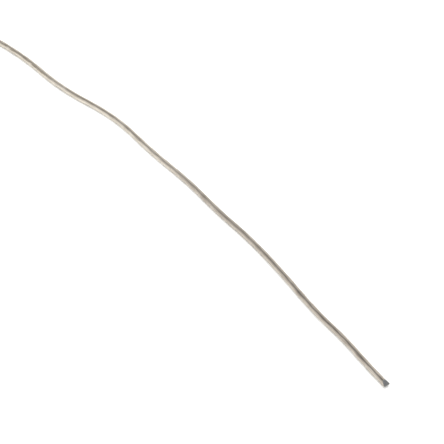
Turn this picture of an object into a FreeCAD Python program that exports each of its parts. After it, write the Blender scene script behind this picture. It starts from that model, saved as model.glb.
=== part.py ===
import FreeCAD, Part
import os
from math import acos, cos, degrees, floor, hypot, pi, radians, sin, tan

# Solder wire spool: a moulded spool in two halves with a paper label on each
# flange, cored solder wire wound on it, and the wire's free end lying beside it.
# Millimetres. The spool stands on its lower flange with its axis along +Z, and
# the origin is the centre of that flange's foot.

# Wire
wire_diameter = 1.0
core_diameter = 0.4
layer_nesting = 0.9        # of a wire diameter, from one layer of turns to the next

# Spool
spool_height = 50.0
flange_diameter = 64.0
flange_plate = 2.2
foot_height = 1.2          # raised rim and hub ring on the outer face
rim_width = 2.4
rim_rounding = 0.8
edge_rounding = 0.35
bore_diameter = 16.0
hub_wall = 1.6
hub_ring_width = 3.0
barrel_diameter = 28.0
barrel_wall = 2.0
rib_count = 6
rib_thickness = 1.4

# Joint between the two halves
spigot_height = 3.0
spigot_clearance = 0.05
spigot_end_gap = 0.3

# Keyhole notches in the rims, that hold a cut end
notch_angles = (20.0, 200.0)
notch_neck = 0.8
notch_eye = 1.3
notch_depth = 3.2

# Start of the wire, led out through a hole in the upper flange and bent over
start_angle = 250.0
start_clearance = 0.25
start_bend = 0.9
start_length = 9.0
start_lay_gap = 0.05

# Labels
label_thickness = 0.15
label_gap = 0.6            # to the start of the wire inside, to the notches outside

# Winding
rim_cover = 5.0            # least that the flanges stand out past the full layers
pack_end_gap = 0.1
turn_gap = 0.15
turn_sweep = 330.0

# Free end: where it leaves the winding, and its straight lead-out
exit_rise = 4.8            # above the lower flange's inner face
exit_angle = 56.5
lead_out = 5.0

# Free end after its lead-out: over the lower rim, down to the surface and along
# it to the cut. X, Y, and the wire's lift off the surface
free_route = [
    (26.1, 15.8, 7.1),
    (33.4, 10.5, 5.4),
    (40.5, 5.0, 2.1),
    (47.3, -0.9, 0),
    (56.6, -6.9, 0),
    (66.1, -11.4, 0),
    (75.3, -16.9, 0),
    (85.0, -24.8, 0),
    (92.8, -34.0, 0),
    (102.7, -42.0, 0),
    (109.6, -51.2, 0),
    (115.9, -58.4, 0),
    (121.0, -65.5, 0),
    (125.6, -71.4, 0),
    (130.4, -78.3, 0),
    (136.2, -87.9, 0),
    (140.3, -93.6, 0),
    (144.0, -99.4, 0),
    (146.6, -103.0, 0),
]

# Worked out from the sizes above
wire_radius = wire_diameter / 2
layer_pitch = wire_diameter * layer_nesting
flange_radius = flange_diameter / 2
bore_radius = bore_diameter / 2
hub_radius = bore_radius + hub_wall
hub_ring_radius = bore_radius + hub_ring_width
barrel_radius = barrel_diameter / 2
barrel_inner_radius = barrel_radius - barrel_wall
joint_radius = barrel_radius - barrel_wall / 2
rim_inner_radius = flange_radius - rim_width
inner_face = foot_height + flange_plate
middle = spool_height / 2

winding_room = flange_radius - rim_cover - barrel_radius
full_layers = floor((winding_room - wire_diameter) / layer_pitch) + 1
pack_radius = barrel_radius + (full_layers - 1) * layer_pitch + wire_diameter
turn_radius = pack_radius + turn_gap + wire_radius
exit_height = inner_face + exit_rise

start_radius = barrel_radius + wire_radius
start_reach = hypot(start_radius, start_bend + start_length) + wire_radius
label_inner_radius = start_reach + label_gap
label_outer_radius = flange_radius - notch_depth - notch_eye / 2 - label_gap

UP = FreeCAD.Vector(0, 0, 1)


def turned(outline):
    """Solid of revolution about Z from (radius, height) corners."""
    corners = [FreeCAD.Vector(radius, 0, height) for radius, height in outline]
    face = Part.Face(Part.makePolygon(corners + corners[:1]))
    return face.revolve(FreeCAD.Vector(), UP, 360)


def upper(shape):
    """The same shape turned over, on the upper end of the spool."""
    return shape.rotate(FreeCAD.Vector(0, 0, middle), FreeCAD.Vector(1, 0, 0), 180)


def rings(shape, places):
    """The circular edges about Z at the given (radius, height) places."""
    found = []
    for edge in shape.Edges:
        if edge.Curve.TypeId != "Part::GeomCircle":
            continue
        at = (edge.Curve.Radius, edge.Curve.Center.z)
        if any(hypot(at[0] - radius, at[1] - height) < 1e-6 for radius, height in places):
            found.append(edge)
    return found


def round_edges(shape):
    """Round the rim well, and break the edges of the rim and hub ring inside it."""
    rim = [(flange_radius, 0), (flange_radius, inner_face)]
    feet = [
        (rim_inner_radius, 0),
        (rim_inner_radius, foot_height),
        (hub_ring_radius, 0),
        (hub_ring_radius, foot_height),
        (bore_radius, 0),
    ]
    shape = shape.makeFillet(rim_rounding, rings(shape, rim))
    return shape.makeFillet(edge_rounding, rings(shape, feet))


def notch(angle):
    """Keyhole cut through a flange's rim."""
    eye_place = FreeCAD.Vector(flange_radius - notch_depth, 0, -1)
    height = inner_face + 2
    eye = Part.makeCylinder(notch_eye / 2, height, eye_place)
    neck_place = eye_place - FreeCAD.Vector(0, notch_neck / 2, 0)
    neck = Part.makeBox(notch_depth + 1, notch_neck, height, neck_place)
    return eye.fuse(neck).rotate(FreeCAD.Vector(), UP, angle)


def ribs(top):
    """Radial ribs between the hub tube and the barrel, up to the given height."""
    bite = min(hub_wall, barrel_wall) / 4
    length = barrel_inner_radius - hub_radius + 2 * bite
    place = FreeCAD.Vector(hub_radius - bite, -rib_thickness / 2, inner_face - bite)
    rib = Part.makeBox(length, rib_thickness, top - inner_face + bite, place)
    turns = [360 * index / rib_count for index in range(rib_count)]
    return [rib.copy().rotate(FreeCAD.Vector(), UP, turn) for turn in turns]


def spool_half(joint, rib_top):
    """Flange, half of the barrel and half of the hub tube, as one moulding.

    joint lists the corners of the barrel's end, from its outside to its inside.
    """
    flange = [
        (bore_radius, 0),
        (hub_ring_radius, 0),
        (hub_ring_radius, foot_height),
        (rim_inner_radius, foot_height),
        (rim_inner_radius, 0),
        (flange_radius, 0),
        (flange_radius, inner_face),
        (barrel_radius, inner_face),
    ]
    inside = [
        (barrel_inner_radius, inner_face),
        (hub_radius, inner_face),
        (hub_radius, middle),
        (bore_radius, middle),
    ]
    body = round_edges(turned(flange + joint + inside))
    body = body.cut([notch(angle) for angle in notch_angles])
    return body.fuse(ribs(rib_top)).removeSplitter()


def lower_half():
    spigot_radius = joint_radius - spigot_clearance
    spigot_top = middle + spigot_height
    joint = [
        (barrel_radius, middle),
        (spigot_radius, middle),
        (spigot_radius, spigot_top),
        (barrel_inner_radius, spigot_top),
    ]
    return spool_half(joint, middle)


def upper_half():
    seat_floor = middle - spigot_height - spigot_end_gap
    joint = [
        (barrel_radius, middle),
        (joint_radius, middle),
        (joint_radius, seat_floor),
        (barrel_inner_radius, seat_floor),
    ]
    half = upper(spool_half(joint, seat_floor - spigot_end_gap))
    return half.cut(start_hole())


def start_place(height):
    """Point on the line along which the wire's start leaves the winding."""
    angle = radians(start_angle)
    return FreeCAD.Vector(start_radius * cos(angle), start_radius * sin(angle), height)


def start_hole():
    radius = wire_radius + start_clearance
    return Part.makeCylinder(radius, inner_face + 2, start_place(spool_height - inner_face - 1))


def label():
    bottom = foot_height - label_thickness
    return turned(
        [
            (label_inner_radius, bottom),
            (label_outer_radius, bottom),
            (label_outer_radius, foot_height),
            (label_inner_radius, foot_height),
        ]
    )


def winding():
    """Outer shape of the turns on the barrel: full layers and one part layer."""
    bottom = inner_face + pack_end_gap
    top = spool_height - inner_face - pack_end_gap
    step = exit_height + wire_radius + turn_gap
    return turned(
        [
            (barrel_radius, bottom),
            (pack_radius, bottom),
            (pack_radius, step),
            (pack_radius + layer_pitch, step),
            (pack_radius + layer_pitch, top),
            (barrel_radius, top),
        ]
    )


def bar_along(path, diameter, start, direction):
    """Round solid bar along a path."""
    section = Part.Wire(Part.Circle(start, direction, diameter / 2).toShape())
    return Part.Wire(path).makePipeShell([section], True, True)


def start_of_wire():
    """Up through the hole in the upper flange, then bent over flat on it."""
    angle = radians(start_angle)
    along = FreeCAD.Vector(-sin(angle), cos(angle), 0)
    lay_height = spool_height - foot_height + start_lay_gap + wire_radius
    foot = start_place(spool_height - inner_face - pack_end_gap)
    bend_start = start_place(lay_height - start_bend)
    bend_end = start_place(lay_height) + along * start_bend
    bend_centre = bend_start + along * start_bend
    bend_middle = bend_centre + (UP - along) * (start_bend * cos(pi / 4))
    path = [
        Part.LineSegment(foot, bend_start).toShape(),
        Part.Arc(bend_start, bend_middle, bend_end).toShape(),
        Part.LineSegment(bend_end, bend_end + along * start_length).toShape(),
    ]
    return bar_along(path, wire_diameter, foot, UP)


def outer_turn():
    """Last turn, lying on the winding, that the free end leaves."""
    centre = FreeCAD.Vector(turn_radius, 0, exit_height)
    circle = Part.Circle(centre, FreeCAD.Vector(0, 1, 0), wire_radius)
    face = Part.Face(Part.Wire(circle.toShape()))
    ring = face.revolve(FreeCAD.Vector(), UP, turn_sweep)
    return ring.rotate(FreeCAD.Vector(), UP, exit_angle)


def rounded_path(points):
    """Straight runs joined by tangent arcs as large as the runs allow."""
    edges = []
    place = points[0]
    for before, corner, after in zip(points, points[1:], points[2:]):
        arriving = corner - before
        leaving = after - corner
        reach = 0.45 * min(arriving.Length, leaving.Length)
        arriving.normalize()
        leaving.normalize()
        half_turn = acos(arriving.dot(leaving)) / 2
        radius = reach / tan(half_turn)
        print(f"turn {degrees(2 * half_turn):5.1f} deg, radius {radius:6.1f} mm")
        inward = leaving - arriving
        inward.normalize()
        arc_start = corner - arriving * reach
        arc_middle = corner + inward * (radius / cos(half_turn) - radius)
        arc_end = corner + leaving * reach
        edges.append(Part.LineSegment(place, arc_start).toShape())
        edges.append(Part.Arc(arc_start, arc_middle, arc_end).toShape())
        place = arc_end
    edges.append(Part.LineSegment(place, points[-1]).toShape())
    return edges


def free_wire():
    """The free end's alloy tube and the flux core inside it."""
    angle = radians(exit_angle)
    leave = FreeCAD.Vector(sin(angle), -cos(angle), 0)
    start = FreeCAD.Vector(turn_radius * cos(angle), turn_radius * sin(angle), exit_height)
    points = [start, start + leave * lead_out]
    points += [FreeCAD.Vector(x, y, lift + wire_radius) for x, y, lift in free_route]
    path = rounded_path(points)
    length = sum(edge.Length for edge in path)
    bar = bar_along(path, wire_diameter, start, leave)
    core = bar_along(path, core_diameter, start, leave)
    share = bar.Volume / (pi * wire_radius**2 * length)
    print(f"free end {length:.1f} mm long, volume {share:.4f} of section times length")
    return bar.cut(core), core


def main():
    os.makedirs("parts", exist_ok=True)
    free_end, flux_core = free_wire()
    parts = {
        "lower_spool_half": lower_half(),
        "upper_spool_half": upper_half(),
        "lower_label": label(),
        "upper_label": upper(label()),
        "wound_wire": winding(),
        "wire_start": start_of_wire(),
        "outer_turn": outer_turn(),
        "free_end": free_end,
        "flux_core": flux_core,
    }
    for name, shape in parts.items():
        print(f"{name}: valid {shape.isValid()}, solids {len(shape.Solids)}, {shape.Volume:.1f} mm3")
        shape.exportStep(f"parts/{name}.step")


main()
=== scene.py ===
from math import atan, cos, floor, pi, radians, sin, tau

import bpy
import numpy as np
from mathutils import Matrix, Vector


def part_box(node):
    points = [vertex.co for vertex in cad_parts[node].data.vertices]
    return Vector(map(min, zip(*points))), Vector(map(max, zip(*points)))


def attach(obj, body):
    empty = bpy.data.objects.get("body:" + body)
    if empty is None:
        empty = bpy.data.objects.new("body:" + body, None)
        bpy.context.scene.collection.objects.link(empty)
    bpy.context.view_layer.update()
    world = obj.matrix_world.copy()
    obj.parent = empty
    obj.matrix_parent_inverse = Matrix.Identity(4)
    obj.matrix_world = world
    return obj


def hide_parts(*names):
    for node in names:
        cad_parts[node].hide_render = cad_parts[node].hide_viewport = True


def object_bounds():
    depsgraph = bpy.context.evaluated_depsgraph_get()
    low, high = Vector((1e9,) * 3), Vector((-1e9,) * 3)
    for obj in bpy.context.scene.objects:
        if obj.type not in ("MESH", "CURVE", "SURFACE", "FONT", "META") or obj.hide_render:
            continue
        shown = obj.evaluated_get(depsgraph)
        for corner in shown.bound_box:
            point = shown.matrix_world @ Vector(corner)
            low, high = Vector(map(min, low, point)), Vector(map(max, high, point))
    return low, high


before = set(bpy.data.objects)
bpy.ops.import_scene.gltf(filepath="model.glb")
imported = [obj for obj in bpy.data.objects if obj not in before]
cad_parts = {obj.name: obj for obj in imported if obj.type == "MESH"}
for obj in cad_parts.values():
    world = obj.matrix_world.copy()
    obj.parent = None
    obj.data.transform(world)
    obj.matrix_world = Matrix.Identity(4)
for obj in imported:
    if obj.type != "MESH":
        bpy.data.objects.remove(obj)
cad_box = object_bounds()

# A spool of cored solder wire: an off-white moulded spool, a paper label on
# each flange, the wound wire, and the wire's free end lying on the bench.
# Metres. The spool stands on its lower flange, and +Z is its axis.

MM = 0.001

# Wire
WIRE_RADIUS = 0.5 * MM
CORE_RADIUS = 0.2 * MM
DENT_SHARE = 0.08  # depth of a dent, of the wire's radius
TURN_PITCH = 1.02 * MM
LAYER_RISE = 0.9 * MM
FULL_LAYERS = 14
SEEN_LAYERS = 2

# Winding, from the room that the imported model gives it. Its last layer is part full
WOUND_LOW, WOUND_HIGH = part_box("wound_wire")
LAST_LAYER_RADIUS = WOUND_HIGH[0] - WIRE_RADIUS
LOWEST_TURN = WOUND_LOW[2] + WIRE_RADIUS
TURNS_PER_LAYER = floor((WOUND_HIGH[2] - WIRE_RADIUS - LOWEST_TURN) / TURN_PITCH) + 1
LAST_LAYER_STOPS = 9.4 * MM
ONE_TURN = radians(358)  # the place where turns step over drifts round by the rest
STEP_OVER = 0.1  # of a turn
WINDING_ENDS = radians(28)

# Where the wire leaves the winding
TURN_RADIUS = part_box("outer_turn")[1][1] - WIRE_RADIUS
EXIT_ANGLE = radians(56.5)
EXIT_HEIGHT = 8.2 * MM
TURN_SWEEP = radians(330)
LEAD_OUT = 5 * MM

# Route of the free end after its lead-out: X, Y and lift off the bench, in mm
FREE_ROUTE = [
    (26.1, 15.8, 7.1),
    (33.4, 10.5, 5.4),
    (40.5, 5.0, 2.1),
    (47.3, -0.9, 0),
    (56.6, -6.9, 0),
    (66.1, -11.4, 0),
    (75.3, -16.9, 0),
    (85.0, -24.8, 0),
    (92.7, -34.2, 0),
    (102.8, -41.9, 0),
    (109.6, -51.2, 0),
    (115.9, -58.4, 0),
    (120.9, -65.6, 0),
    (125.6, -71.3, 0),
    (130.4, -78.3, 0),
    (136.2, -88.0, 0),
    (140.4, -93.5, 0),
    (144.0, -99.4, 0),
    (146.3, -102.7, 0),
]

# Start of the wire: up through the upper flange and bent over flat on it
START_ANGLE = radians(250)
START_RADIUS = 14.5 * MM
START_BEND = 0.9 * MM
START_LENGTH = 9 * MM
START_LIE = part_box("wire_start")[1][2] - WIRE_RADIUS

# Camera: it looks along +Y, halfway down, at a point on the bench
LOOK_AT = Vector((121.53, -67.52, 0)) * MM
CAMERA_TILT = radians(45)
CAMERA_DISTANCE = 275 * MM
HALF_FIELD = 18 / 135  # half of a 36 mm frame, over a 135 mm lens

# Studio: grey of the walls, by how nearly a direction points at the darkest place
# in them, which is high up (1 is straight at it, and 0 is square to it)
DARKER_WAY = (-0.43, 0.35, 0.832)
STUDIO = [
    (0.35, "#e7e7e7"),
    (0.5, "#e2e2e2"),
    (0.64, "#ececec"),
    (0.73, "#efefef"),
    (0.8, "#dfdfdf"),
    (0.86, "#cecece"),
    (0.92, "#afafaf"),
    (0.96, "#b2b2b2"),
    (0.985, "#a4a4a4"),
    (1.0, "#6c6c6c"),
]
STUDIO_STRENGTH = 1.35

# The shaded side of the studio, from the side opposite it (0) to its middle (1)
SHADED_WAY = (0.669, -0.743, 0)
SHADED_SIDE = [(0.42, "#ffffff"), (0.56, "#c8c8c8"), (0.7, "#929292"), (1.0, "#7c7c7c")]

# Bench and lamp
BENCH_HALF = 4.0
BENCH_GLOW = 0.14
LAMP_HEIGHT = 1.2
LAMP_SIZE = 1.6
LAMP_POWER = 19


# ---------------------------------------------------------------- helpers


def linear(hex_colour):
    """sRGB hex, such as "#c8c2b4", as linear RGBA."""
    parts = [int(hex_colour[at : at + 2], 16) / 255 for at in (1, 3, 5)]
    return [p / 12.92 if p <= 0.04045 else ((p + 0.055) / 1.055) ** 2.4 for p in parts] + [1]


def add(tree, kind, inputs=None, **settings):
    """Add a node. inputs holds, by socket, either a value or a socket to link from."""
    node = tree.nodes.new(kind)
    for name, value in settings.items():
        setattr(node, name, value)
    for socket, value in (inputs or {}).items():
        if isinstance(value, bpy.types.NodeSocket):
            tree.links.new(value, node.inputs[socket])
        else:
            node.inputs[socket].default_value = value
    return node


def new_material(name):
    """A material with an empty node tree."""
    material = bpy.data.materials.new(name)
    material.use_nodes = True
    material.node_tree.nodes.clear()
    return material, material.node_tree


def ramp(tree, value, stops, interpolation="LINEAR"):
    """Colour ramp on value, from (place, hex colour) stops."""
    node = add(tree, "ShaderNodeValToRGB", {"Fac": value})
    node.color_ramp.interpolation = interpolation
    elements = node.color_ramp.elements
    while len(elements) < len(stops):
        elements.new(0.5)
    for element, (place, colour) in zip(elements, stops):
        element.position = place
        element.color = linear(colour)
    return node.outputs["Color"]


# -------------------------------------------------------------- materials


def drawn_solder():
    """Tin alloy wire, drawn through dies: satin, warm grey, with fine lines along it."""
    material, tree = new_material("drawn_solder")
    uv = add(tree, "ShaderNodeUVMap", uv_map="wire").outputs["UV"]

    # Draw lines: 10 mm long and 0.2 mm apart round the wire, twice as far as the
    # real ones, so that they show
    lines_at = add(tree, "ShaderNodeMapping", {"Vector": uv, "Scale": (5000, 100, 1)})
    lines = add(
        tree,
        "ShaderNodeTexNoise",
        {"Vector": lines_at.outputs["Vector"], "Scale": 1, "Detail": 3, "Roughness": 0.6},
    ).outputs["Fac"]

    # Handling marks and oxide: patches 2.4 mm long and 0.9 mm across
    patches_at = add(tree, "ShaderNodeMapping", {"Vector": uv, "Scale": (1100, 420, 1)})
    patches = add(
        tree,
        "ShaderNodeTexNoise",
        {"Vector": patches_at.outputs["Vector"], "Scale": 1, "Detail": 4, "Roughness": 0.55},
    ).outputs["Fac"]

    marked = add(
        tree, "ShaderNodeMath", {0: patches, 1: lines}, operation="ADD"
    ).outputs["Value"]
    marks = add(
        tree, "ShaderNodeMapRange", {"Value": marked, "From Min": 0.7, "From Max": 1.3}
    ).outputs["Result"]

    # Metal in its own colour, and a darker copy towards the loose end: painted shade for the
    # reflection of something dark above that end
    unshaded_metal = ramp(tree, marks, [(0, "#b4aa9c"), (0.5, "#cec6ba"), (1, "#dfd7cc")])
    shaded_metal = ramp(tree, marks, [(0, "#988f85"), (0.5, "#b4aba0"), (1, "#c7bfb4")])
    along = add(tree, "ShaderNodeSeparateXYZ", {"Vector": uv}).outputs["Y"]
    painted_shade = add(
        tree,
        "ShaderNodeMapRange",
        {"Value": along, "From Min": 112 * MM, "From Max": 144 * MM},
        interpolation_type="SMOOTHSTEP",
    ).outputs["Result"]
    # Painted shade: the darker copy takes over from 112 mm to 144 mm along the wire
    base = add(
        tree, "ShaderNodeMix", {0: painted_shade, 6: unshaded_metal, 7: shaded_metal}, data_type="RGBA"
    ).outputs[2]

    # Gloss: fingers have matted one stretch, and wiped the loose end after it
    stretch = add(
        tree,
        "ShaderNodeMapRange",
        {"Value": along, "From Min": 120 * MM, "From Max": 170 * MM},
    ).outputs["Result"]
    touched = ramp(
        tree,
        stretch,
        [
            (0, "#7f7f7f"),
            (0.28, "#a4a4a4"),
            (0.5, "#a4a4a4"),
            (0.7, "#848484"),
            (0.9, "#646464"),
        ],
    )
    streaks = add(
        tree,
        "ShaderNodeMapRange",
        {"Value": lines, "From Min": 0.3, "From Max": 0.7, "To Min": -0.05, "To Max": 0.05},
    ).outputs["Result"]
    rough = add(
        tree, "ShaderNodeMath", {0: touched, 1: streaks}, operation="ADD"
    ).outputs["Value"]
    bump = add(
        tree, "ShaderNodeBump", {"Height": lines, "Strength": 0.5, "Distance": 0.01 * MM}
    ).outputs["Normal"]
    shader = add(
        tree,
        "ShaderNodeBsdfPrincipled",
        {"Base Color": base, "Metallic": 1, "Roughness": rough, "Normal": bump},
    )
    add(tree, "ShaderNodeOutputMaterial", {"Surface": shader.outputs["BSDF"]})
    return material


def sheared_solder():
    """The same alloy where cutters have pinched it through: cool grey, cross-scored."""
    material, tree = new_material("sheared_solder")
    uv = add(tree, "ShaderNodeUVMap", uv_map="wire").outputs["UV"]
    # Score marks that the blades leave: 0.06 mm apart and 0.7 mm long
    score_at = add(tree, "ShaderNodeMapping", {"Vector": uv, "Scale": (1500, 16000, 1)})
    score = add(
        tree, "ShaderNodeTexNoise", {"Vector": score_at.outputs["Vector"], "Scale": 1, "Detail": 2}
    ).outputs["Fac"]
    base = ramp(tree, score, [(0.3, "#a6a8aa"), (0.7, "#babcbe")])
    bump = add(
        tree, "ShaderNodeBump", {"Height": score, "Strength": 0.4, "Distance": 0.01 * MM}
    ).outputs["Normal"]
    shader = add(
        tree,
        "ShaderNodeBsdfPrincipled",
        {"Base Color": base, "Metallic": 1, "Roughness": 0.45, "Normal": bump},
    )
    add(tree, "ShaderNodeOutputMaterial", {"Surface": shader.outputs["BSDF"]})
    return material


def rosin():
    """Solid rosin flux: amber, glassy."""
    material, tree = new_material("rosin")
    place = add(tree, "ShaderNodeTexCoord").outputs["Object"]
    # Cloudy patches, 0.7 mm across
    cloud = add(
        tree, "ShaderNodeTexNoise", {"Vector": place, "Scale": 1500, "Detail": 2}
    ).outputs["Fac"]
    base = ramp(tree, cloud, [(0.3, "#a8661a"), (0.7, "#c98a33")])
    shader = add(
        tree,
        "ShaderNodeBsdfPrincipled",
        {"Base Color": base, "Roughness": 0.15, "IOR": 1.54, "Subsurface Weight": 0.2},
    )
    add(tree, "ShaderNodeOutputMaterial", {"Surface": shader.outputs["BSDF"]})
    return material


def pin_marks(tree, place):
    """0 inside six shallow discs that the mould's ejector pins leave, 1 outside."""
    ring = 13.2 * MM
    disc = 1.25 * MM
    edge = 0.12 * MM
    flat = add(
        tree, "ShaderNodeVectorMath", {0: place, 1: (1, 1, 0)}, operation="MULTIPLY"
    ).outputs["Vector"]
    out = add(tree, "ShaderNodeVectorMath", {0: flat}, operation="LENGTH").outputs["Value"]
    xyz = add(tree, "ShaderNodeSeparateXYZ", {0: place})
    angle = add(
        tree, "ShaderNodeMath", {0: xyz.outputs["Y"], 1: xyz.outputs["X"]}, operation="ARCTAN2"
    ).outputs["Value"]
    folded = add(
        tree, "ShaderNodeMath", {0: angle, 1: pi / 6, 2: -pi / 6}, operation="WRAP"
    ).outputs["Value"]
    cosine = add(tree, "ShaderNodeMath", {0: folded}, operation="COSINE").outputs["Value"]
    sine = add(tree, "ShaderNodeMath", {0: folded}, operation="SINE").outputs["Value"]
    along = add(
        tree, "ShaderNodeMath", {0: out, 1: cosine, 2: -ring}, operation="MULTIPLY_ADD"
    ).outputs["Value"]
    beside = add(tree, "ShaderNodeMath", {0: out, 1: sine}, operation="MULTIPLY").outputs["Value"]
    from_pin = add(tree, "ShaderNodeCombineXYZ", {"X": along, "Y": beside}).outputs["Vector"]
    distance = add(
        tree, "ShaderNodeVectorMath", {0: from_pin}, operation="LENGTH"
    ).outputs["Value"]
    return add(
        tree,
        "ShaderNodeMapRange",
        {"Value": distance, "From Min": disc, "From Max": disc + edge},
        interpolation_type="SMOOTHSTEP",
    ).outputs["Result"]


def moulded_polystyrene():
    """Natural white polystyrene from a spark-eroded mould: satin, with a fine even grain."""
    material, tree = new_material("moulded_polystyrene")
    place = add(tree, "ShaderNodeTexCoord").outputs["Object"]
    # Mould grain, 0.25 mm across, coarser than the real 0.05 mm so that it shows
    grain = add(
        tree, "ShaderNodeTexNoise", {"Vector": place, "Scale": 4000, "Detail": 2}
    ).outputs["Fac"]
    # Slow change of gloss where the plastic filled and was handled, 11 mm across
    flow = add(
        tree, "ShaderNodeTexNoise", {"Vector": place, "Scale": 90, "Detail": 4}
    ).outputs["Fac"]
    base = ramp(tree, flow, [(0.35, "#bab7ad"), (0.65, "#c6c3ba")])
    rough = add(
        tree,
        "ShaderNodeMapRange",
        {"Value": flow, "From Min": 0.3, "From Max": 0.7, "To Min": 0.34, "To Max": 0.46},
    ).outputs["Result"]
    fine = add(
        tree, "ShaderNodeBump", {"Height": grain, "Strength": 0.25, "Distance": 0.02 * MM}
    ).outputs["Normal"]
    pins = add(
        tree,
        "ShaderNodeBump",
        {"Height": pin_marks(tree, place), "Strength": 0.8, "Distance": 0.06 * MM, "Normal": fine},
    ).outputs["Normal"]
    shader = add(
        tree,
        "ShaderNodeBsdfPrincipled",
        {"Base Color": base, "Roughness": rough, "IOR": 1.59, "Normal": pins},
    )
    add(tree, "ShaderNodeOutputMaterial", {"Surface": shader.outputs["BSDF"]})
    return material


def printed_paper(inner, outer):
    """Coated paper, offset printed: flat even ink with crisp edges, and a slight gloss.

    A plain blue band with thin rules, broken by two blank fields for writing on.
    """
    paper, ink, rule = "#cfccc3", "#2c5f78", "#33393f"
    material, tree = new_material("printed_paper")
    place = add(tree, "ShaderNodeTexCoord").outputs["Object"]
    flat = add(
        tree, "ShaderNodeVectorMath", {0: place, 1: (1, 1, 0)}, operation="MULTIPLY"
    ).outputs["Vector"]
    out = add(tree, "ShaderNodeVectorMath", {0: flat}, operation="LENGTH").outputs["Value"]
    share = add(
        tree, "ShaderNodeMapRange", {"Value": out, "From Min": inner, "From Max": outer}
    ).outputs["Result"]
    around = add(tree, "ShaderNodeTexGradient", {"Vector": flat}, gradient_type="RADIAL")
    rules = [(0, paper), (0.08, rule), (0.105, paper)]
    band = rules + [(0.17, ink), (0.84, paper), (0.9, rule), (0.925, paper)]
    blank = rules + [(0.9, rule), (0.925, paper)]
    fields = [(0, "#000000"), (0.16, "#ffffff"), (0.34, "#000000"), (0.66, "#ffffff")]
    printed = add(
        tree,
        "ShaderNodeMix",
        {
            0: ramp(tree, around.outputs["Fac"], fields + [(0.84, "#000000")], "CONSTANT"),
            6: ramp(tree, share, band, "CONSTANT"),
            7: ramp(tree, share, blank, "CONSTANT"),
        },
        data_type="RGBA",
    ).outputs[2]

    # Paper fibre, 0.4 mm long, and ink that took a little unevenly
    fibre = add(
        tree, "ShaderNodeTexNoise", {"Vector": place, "Scale": 2500, "Detail": 4}
    ).outputs["Fac"]
    toned = add(
        tree,
        "ShaderNodeMix",
        {0: 0.35, 6: printed, 7: ramp(tree, fibre, [(0.3, "#d2cfc6"), (0.7, "#ffffff")])},
        data_type="RGBA",
        blend_type="MULTIPLY",
    ).outputs[2]
    bump = add(
        tree, "ShaderNodeBump", {"Height": fibre, "Strength": 0.2, "Distance": 0.02 * MM}
    ).outputs["Normal"]
    shader = add(
        tree,
        "ShaderNodeBsdfPrincipled",
        {"Base Color": toned, "Roughness": 0.42, "IOR": 1.5, "Normal": bump},
    )
    add(tree, "ShaderNodeOutputMaterial", {"Surface": shader.outputs["BSDF"]})
    return material


def white_bench():
    """Opal acrylic of a light table: matt white, faintly lit from below."""
    material, tree = new_material("white_bench")
    shader = add(
        tree,
        "ShaderNodeBsdfPrincipled",
        {
            "Base Color": linear("#f2f2f0"),
            "Roughness": 0.9,
            "Emission Color": linear("#ffffff"),
            "Emission Strength": BENCH_GLOW,
        },
    )
    add(tree, "ShaderNodeOutputMaterial", {"Surface": shader.outputs["BSDF"]})
    return material


SOLDER = drawn_solder()
SHEARED = sheared_solder()


# ------------------------------------------------------------ wire meshes


def spline_points(points):
    """Points along the NURBS spline with the given control points."""
    curve = bpy.data.curves.new("route", "CURVE")
    curve.dimensions = "3D"
    curve.resolution_u = 40
    spline = curve.splines.new("NURBS")
    spline.points.add(len(points) - 1)
    for point, place in zip(spline.points, points):
        point.co = (*place, 1)
    spline.order_u = 3
    spline.use_endpoint_u = True
    holder = bpy.data.objects.new("route", curve)
    mesh = bpy.data.meshes.new_from_object(holder)
    found = np.array([vertex.co[:] for vertex in mesh.vertices])
    bpy.data.objects.remove(holder)
    bpy.data.curves.remove(curve)
    bpy.data.meshes.remove(mesh)
    return found


def lengths(path):
    """Distance along the path to each of its points."""
    steps = np.linalg.norm(np.diff(path, axis=0), axis=1)
    return np.concatenate([[0], np.cumsum(steps)])


def resampled(path, stations):
    """Points of the path at the given distances along it."""
    along = lengths(path)
    return np.stack([np.interp(stations, along, path[:, axis]) for axis in range(3)], axis=1)


def unit(vectors):
    """Each vector at a length of 1."""
    return vectors / np.linalg.norm(vectors, axis=1, keepdims=True)


def smooth(value):
    """0 to 1 with level ends."""
    value = np.clip(value, 0, 1)
    return value * value * (3 - 2 * value)


def on_circle(angle, radius, height):
    """Points round the spool's axis."""
    return np.stack(
        [radius * np.cos(angle), radius * np.sin(angle), np.broadcast_to(height, np.shape(angle))],
        axis=-1,
    )


def new_piece(name, mesh, body, *nodes):
    """A piece that rides on a body and stands for CAD nodes."""
    mesh.shade_smooth()
    mesh.validate()
    piece = bpy.data.objects.new(name, mesh)
    bpy.context.scene.collection.objects.link(piece)
    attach(piece, body)
    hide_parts(*nodes)
    return piece


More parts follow.
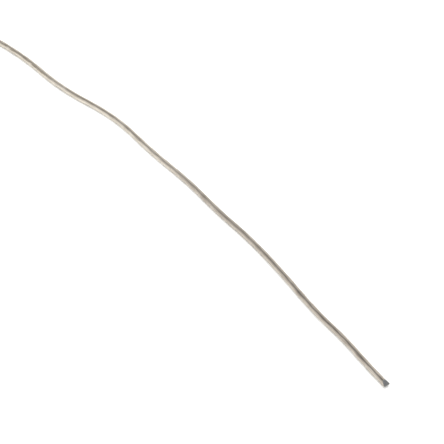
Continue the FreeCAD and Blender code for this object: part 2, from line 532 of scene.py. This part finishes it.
def tube_mesh(
    name, path, radius, sides, up=(0, 0, 1), start=0.0, limit=None, spread=None, lost=0.0
):
    """Closed round tube along path, with a UV map in metres round and along it.

    limit is how far the section reaches along up and down at each point, where it
    is pinched flat, and spread is how much wider it is. Faces that are pinched
    flat take the mesh's second material. lost is the share of the radius that is
    missing at each point of each section.
    """
    count = len(path)
    limit = np.full(count, 1.0) if limit is None else limit
    spread = np.ones(count) if spread is None else spread
    ahead = unit(np.gradient(path, axis=0))
    side = unit(np.cross(ahead, np.array(up, float)))
    lift = np.cross(side, ahead)
    # The seam of the UV map is underneath
    turn = tau * np.arange(sides) / sides - pi / 2
    left = radius * np.broadcast_to(1 - lost, (count, sides))
    across = left * spread[:, None] * np.cos(turn)
    whole = left * np.sin(turn)
    rise = np.clip(whole, -limit[:, None], limit[:, None])
    places = path[:, None] + across[..., None] * side[:, None] + rise[..., None] * lift[:, None]

    row = np.arange(count - 1)[:, None] * sides
    column = np.arange(sides)[None]
    beside = (column + 1) % sides
    quads = np.stack(
        [row + column, row + beside, row + sides + beside, row + sides + column], axis=-1
    ).reshape(-1, 4)
    ends = [list(range(sides))[::-1], list(range((count - 1) * sides, count * sides))]
    mesh = bpy.data.meshes.new(name)
    mesh.from_pydata(places.reshape(-1, 3).tolist(), [], quads.tolist() + ends)
    pinched = (rise != whole).ravel()[quads].sum(axis=1) >= 3
    mesh.polygons.foreach_set("material_index", [*pinched.astype(int), 0, 0])

    along = start + lengths(path)
    around = tau * radius * np.arange(sides + 1) / sides
    u = np.stack([around[:-1], around[1:], around[1:], around[:-1]], axis=-1)
    u = np.broadcast_to(u, (count - 1, sides, 4))
    v = np.stack([along[:-1], along[:-1], along[1:], along[1:]], axis=-1)
    v = np.broadcast_to(v[:, None], (count - 1, sides, 4))
    caps = np.zeros((2 * sides, 2))
    caps[:sides, 1] = along[0]
    caps[sides:, 1] = along[-1]
    values = np.concatenate([np.stack([u, v], axis=-1).reshape(-1, 2), caps])
    layer = mesh.uv_layers.new(name="wire")
    layer.uv.foreach_set("vector", values.astype(np.float32).ravel())
    return mesh


def wire_piece(name, body, node, path, sides, **shape):
    """A stretch of wire as a piece."""
    mesh = tube_mesh(name, path, WIRE_RADIUS, sides, **shape)
    mesh.materials.append(SOLDER)
    mesh.materials.append(SHEARED)
    piece = new_piece(name, mesh, body, node)
    return piece


def dents(path, sides):
    """Share of the radius that is missing all round and along a wire.

    Turns press on each other on the reel, and fingers on the loose end, so that no
    section is quite round. Each wave runs a few millimetres along the wire.
    """
    chance = np.random.default_rng(11)
    shortest, longest = 3 * MM, 9 * MM
    along = lengths(path)[:, None]
    around = tau * np.arange(sides) / sides
    lost = 0
    for lobes in (2, 3, 3, 5, 5, 7):
        wave = chance.uniform(shortest, longest)
        shift, turn = chance.uniform(0, tau, 2)
        swell = np.sin(tau * along / wave + shift) * np.cos(lobes * around + turn)
        lost = lost + DENT_SHARE / lobes * swell
    return np.maximum(lost, 0)


def cut_off(path, cut):
    """Path, limit and spread of wire that cutters have pinched off at its far end.

    The two blade faces meet in an edge at mid height, a little wider than the wire.
    """
    edge = 0.03 * MM  # half its thickness
    widening = 0.06
    widening_starts = 1.6 * cut
    spacing = 0.25 * MM
    length = lengths(path)[-1]
    stations = np.concatenate(
        [np.arange(0, length - cut, spacing), np.linspace(length - cut, length, 24)]
    )
    from_tip = length - stations
    limit = edge + WIRE_RADIUS * from_tip / cut
    spread = 1 + widening * smooth(1 - from_tip / widening_starts)
    return resampled(path, stations), {"limit": limit, "spread": spread}


# ----------------------------------------------------------------- camera


def make_camera():
    """A long lens over the bench. Only the loose part of the wire is in its view."""
    camera = bpy.data.objects.new("camera", bpy.data.cameras.new("camera"))
    bpy.context.scene.collection.objects.link(camera)
    ahead = Vector((0, cos(CAMERA_TILT), -sin(CAMERA_TILT)))
    camera.location = LOOK_AT - ahead * CAMERA_DISTANCE
    camera.rotation_mode = "QUATERNION"
    camera.rotation_quaternion = ahead.to_track_quat("-Z", "Y")
    camera.data.angle = 2 * atan(HALF_FIELD)
    camera.data.clip_start = 10 * MM
    bpy.context.scene.camera = camera


# ------------------------------------------------------------ the free end


def free_end():
    """The free end of the wire, pinched off by cutters, and its flux core."""
    leave = np.array([sin(EXIT_ANGLE), -cos(EXIT_ANGLE), 0])
    start = on_circle(EXIT_ANGLE, TURN_RADIUS, EXIT_HEIGHT)
    points = [start, start + leave * LEAD_OUT]
    points += [np.array([x * MM, y * MM, lift * MM + WIRE_RADIUS]) for x, y, lift in FREE_ROUTE]
    cut = 0.95 * MM
    sides = 40
    path, shape = cut_off(spline_points(points), cut)
    shape["lost"] = dents(path, sides)
    wire = wire_piece("free_end_wire", "free_wire", "free_end", path, sides, **shape)

    # The flux shows nowhere: the cutters have closed the alloy over it
    core_length = lengths(path)[-1] - 1.2 * cut
    core_path = path[lengths(path) < core_length]
    core_mesh = tube_mesh("rosin_core", core_path, CORE_RADIUS, 12)
    core_mesh.materials.append(rosin())
    core = new_piece("rosin_core", core_mesh, "free_wire", "flux_core")


# ------------------------------------------------------------ the winding


def outer_turn():
    """The last turn on the winding. Its start comes up from between the turns under it."""
    rise = radians(10)
    depth = 1.2 * MM
    steps = 330
    start = EXIT_ANGLE + TURN_SWEEP + rise
    angle = np.linspace(start, EXIT_ANGLE, steps)
    radius = TURN_RADIUS - depth * (1 - smooth((start - angle) / rise))
    path = on_circle(angle, radius, EXIT_HEIGHT)
    wire_piece("last_turn", "free_wire", "outer_turn", path, 24, start=-lengths(path)[-1])


def level_turns():
    """Radius and height of every turn on the reel, in the order they were wound.

    Layers go down and up the barrel in turn. Each turn lies in the groove between
    two turns of the layer below.
    """
    turns = []
    for layer in range(FULL_LAYERS + 1):
        radius = LAST_LAYER_RADIUS - (FULL_LAYERS - layer) * LAYER_RISE
        shifted = 1 - layer % 2
        heights = LOWEST_TURN + TURN_PITCH * (np.arange(TURNS_PER_LAYER - shifted) + 0.5 * shifted)
        if shifted:
            heights = heights[::-1]
        if layer == FULL_LAYERS:
            heights = heights[heights > LAST_LAYER_STOPS]
        turns.append(np.stack([np.full(len(heights), radius), heights], axis=1))
    return turns


def wound_path(turns, first, last, steps, chance):
    """Centre line of the turns from first to last, with so many steps in each.

    A turn is level until it steps over to the next one, riding up over the wire
    that it crosses. After the last turn the wire dips under the loose outer turn.
    """
    at = np.linspace(first, last, (last - first) * steps + 1)
    which = np.minimum(at.astype(int), len(turns) - 1)
    after = np.minimum(which + 1, len(turns) - 1)
    stepping = np.clip((at - which - 1) / STEP_OVER + 1, 0, 1)
    share = smooth(stepping)
    radius, height = (turns[which] * (1 - share[:, None]) + turns[after] * share[:, None]).T
    ride_up = 0.1 * MM
    over = ride_up * np.sin(pi * stepping) ** 2
    ending = which == len(turns) - 1
    height = np.where(ending, height + (EXIT_HEIGHT - height) * share, height)
    beneath = np.abs(height - EXIT_HEIGHT) / (2 * WIRE_RADIUS)
    dip = TURN_RADIUS - 2 * WIRE_RADIUS * np.sqrt(np.clip(1 - beneath**2, 0, 1))
    radius = np.where(ending, np.minimum(radius, dip), radius + over)
    # Turns never lie dead true: each wanders by a few hundredths of a millimetre
    wander = 0.035 * MM
    times_a_turn = 5
    knots = np.arange(first, last + 1, 1 / times_a_turn)
    height = height + np.interp(at, knots, chance.uniform(-wander, wander, len(knots)))
    radius = radius + np.interp(at, knots, chance.uniform(-wander, wander, len(knots))) / 2
    angle = WINDING_ENDS + (len(turns) - at) * ONE_TURN
    return on_circle(angle, radius, height)


def winding():
    """All the wire on the reel: the layers inside, and the ones that can be seen."""
    layers = level_turns()
    turns = np.concatenate(layers)
    inside = sum(len(layer) for layer in layers[:-SEEN_LAYERS])
    chance = np.random.default_rng(7)
    inner = wound_path(turns, 0, inside, steps=24, chance=chance)
    outer = wound_path(turns, inside, len(turns), steps=90, chance=chance)
    inner_length, outer_length = lengths(inner)[-1], lengths(outer)[-1]
    wire_piece("inner_layers", "reel", "wound_wire", inner, 6, start=-outer_length - inner_length)
    wire_piece("outer_layers", "reel", "wound_wire", outer, 10, start=-outer_length)
    print(f"wound wire {inner_length + outer_length:.2f} m in {len(turns)} turns")


def wire_start():
    """The wire's first end, up through the upper flange and bent over flat on it."""
    out = np.array([cos(START_ANGLE), sin(START_ANGLE), 0])
    along = np.array([-sin(START_ANGLE), cos(START_ANGLE), 0])
    rise = np.array([0, 0, 1.0])
    foot = out * START_RADIUS + rise * WOUND_HIGH[2]
    bend_centre = out * START_RADIUS + along * START_BEND + rise * (START_LIE - START_BEND)
    turn = np.linspace(0, pi / 2, 16)[:, None]
    bend = bend_centre + START_BEND * (rise * np.sin(turn) - along * np.cos(turn))
    # The lying part isn't quite straight
    bow = 0.25 * MM
    reach = np.linspace(0, 1, 40)[1:, None]
    lying = bend[-1] + along * START_LENGTH * reach + out * bow * np.sin(pi * reach) ** 2
    cut = 0.8 * MM
    path, shape = cut_off(np.concatenate([foot[None], bend, lying]), cut)
    wire_piece("first_end", "reel", "wire_start", path, 24, up=out, **shape)


# ----------------------------------------------------- the spool and labels


def label_piece(node, name, facing, chance):
    """A die-cut paper ring, stuck flat but for an edge that has lifted a little."""
    low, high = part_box(node)
    corners = [vertex.co.xy.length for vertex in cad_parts[node].data.vertices]
    inner, outer = min(corners), max(corners)
    thickness = high[2] - low[2]
    ripple_height, lift_height = 0.008 * MM, 0.12 * MM
    rings, spokes = 16, 240
    share, angle = np.meshgrid(
        np.linspace(0, 1, rings), tau * np.arange(spokes) / spokes, indexing="ij"
    )
    radius = inner + (outer - inner) * share
    start = chance.uniform(0, tau, 3)
    ripple = sum(np.sin((index + 3) * angle + start[index]) for index in range(3)) / 3
    lifted = smooth((np.cos(angle - start[0]) - 0.9) / 0.1) * smooth((share - 0.7) / 0.3)
    rise = ripple_height * (1 + ripple) * share + lift_height * lifted
    stuck = low[2] if facing > 0 else high[2]
    back = on_circle(angle, radius, 0) + np.array([0, 0, 1]) * (stuck + facing * rise)[..., None]
    front = back + np.array([0, 0, facing * thickness])

    size = rings * spokes
    index = np.arange(size).reshape(rings, spokes)
    beside = np.roll(index, -1, axis=1)
    sheet = np.stack([index[:-1], index[1:], beside[1:], beside[:-1]], axis=-1).reshape(-1, 4)
    inside = np.stack([index[0], beside[0], beside[0] + size, index[0] + size], axis=-1)
    outside = np.stack([index[-1], index[-1] + size, beside[-1] + size, beside[-1]], axis=-1)
    faces = np.concatenate([sheet[:, ::-1], sheet + size, inside, outside])
    if facing < 0:
        faces = faces[:, ::-1]
    places = np.concatenate([back.reshape(-1, 3), front.reshape(-1, 3)])
    mesh = bpy.data.meshes.new(name)
    mesh.from_pydata(places.tolist(), [], faces.tolist())
    mesh.materials.append(printed_paper(inner, outer))
    piece = new_piece(name, mesh, "reel", node)
    mesh.set_sharp_from_angle(angle=radians(40))


def spool():
    """Finish of the two moulded halves, and the label on each."""
    plastic = moulded_polystyrene()
    for node in ("lower_spool_half", "upper_spool_half"):
        for material_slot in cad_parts[node].material_slots:
            material_slot.material = plastic
    chance = np.random.default_rng(3)
    label_piece("upper_label", "upper_paper", 1, chance)
    label_piece("lower_label", "lower_paper", -1, chance)


# ------------------------------------------------------------------ studio


def bench():
    """The flat top that the spool stands on."""
    corners = [(-1, -1), (1, -1), (1, 1), (-1, 1)]
    mesh = bpy.data.meshes.new("bench")
    mesh.from_pydata([(BENCH_HALF * x, BENCH_HALF * y, 0) for x, y in corners], [], [(0, 1, 2, 3)])
    mesh.materials.append(white_bench())
    top = bpy.data.objects.new("bench", mesh)
    bpy.context.scene.collection.objects.link(top)


def overhead_lamp():
    """A wide soft lamp straight above the object, which doesn't show in the metal."""
    light = bpy.data.lights.new("overhead", "AREA")
    light.size = LAMP_SIZE
    light.energy = LAMP_POWER
    lamp = bpy.data.objects.new("overhead", light)
    middle = (Vector(cad_box[0]) + Vector(cad_box[1])) / 2
    lamp.location = (middle.x, middle.y, LAMP_HEIGHT)
    lamp.visible_camera = False
    lamp.visible_glossy = False
    bpy.context.scene.collection.objects.link(lamp)


def surroundings():
    """Pale walls, darker towards one place high up and on one side, to give metal shape."""
    world = bpy.data.worlds.new("studio")
    bpy.context.scene.world = world
    world.use_nodes = True
    tree = world.node_tree
    tree.nodes.clear()
    toward = add(tree, "ShaderNodeTexCoord").outputs["Generated"]
    above = add(
        tree, "ShaderNodeVectorMath", {0: toward, 1: DARKER_WAY}, operation="DOT_PRODUCT"
    ).outputs["Value"]
    sideways = add(
        tree, "ShaderNodeVectorMath", {0: toward, 1: SHADED_WAY}, operation="DOT_PRODUCT"
    ).outputs["Value"]
    side = add(
        tree, "ShaderNodeMapRange", {"Value": sideways, "From Min": -1, "From Max": 1}
    ).outputs["Result"]
    shade = add(
        tree,
        "ShaderNodeMix",
        {0: 1, 6: ramp(tree, above, STUDIO), 7: ramp(tree, side, SHADED_SIDE)},
        data_type="RGBA",
        blend_type="MULTIPLY",
    ).outputs[2]
    glow = add(tree, "ShaderNodeBackground", {"Color": shade, "Strength": STUDIO_STRENGTH})
    add(tree, "ShaderNodeOutputWorld", {"Surface": glow.outputs["Background"]})


def main():
    """Build the whole object and its studio."""
    make_camera()
    free_end()
    outer_turn()
    winding()
    wire_start()
    spool()
    bench()
    overhead_lamp()
    surroundings()
    bpy.context.scene.view_settings.view_transform = "Standard"


main()
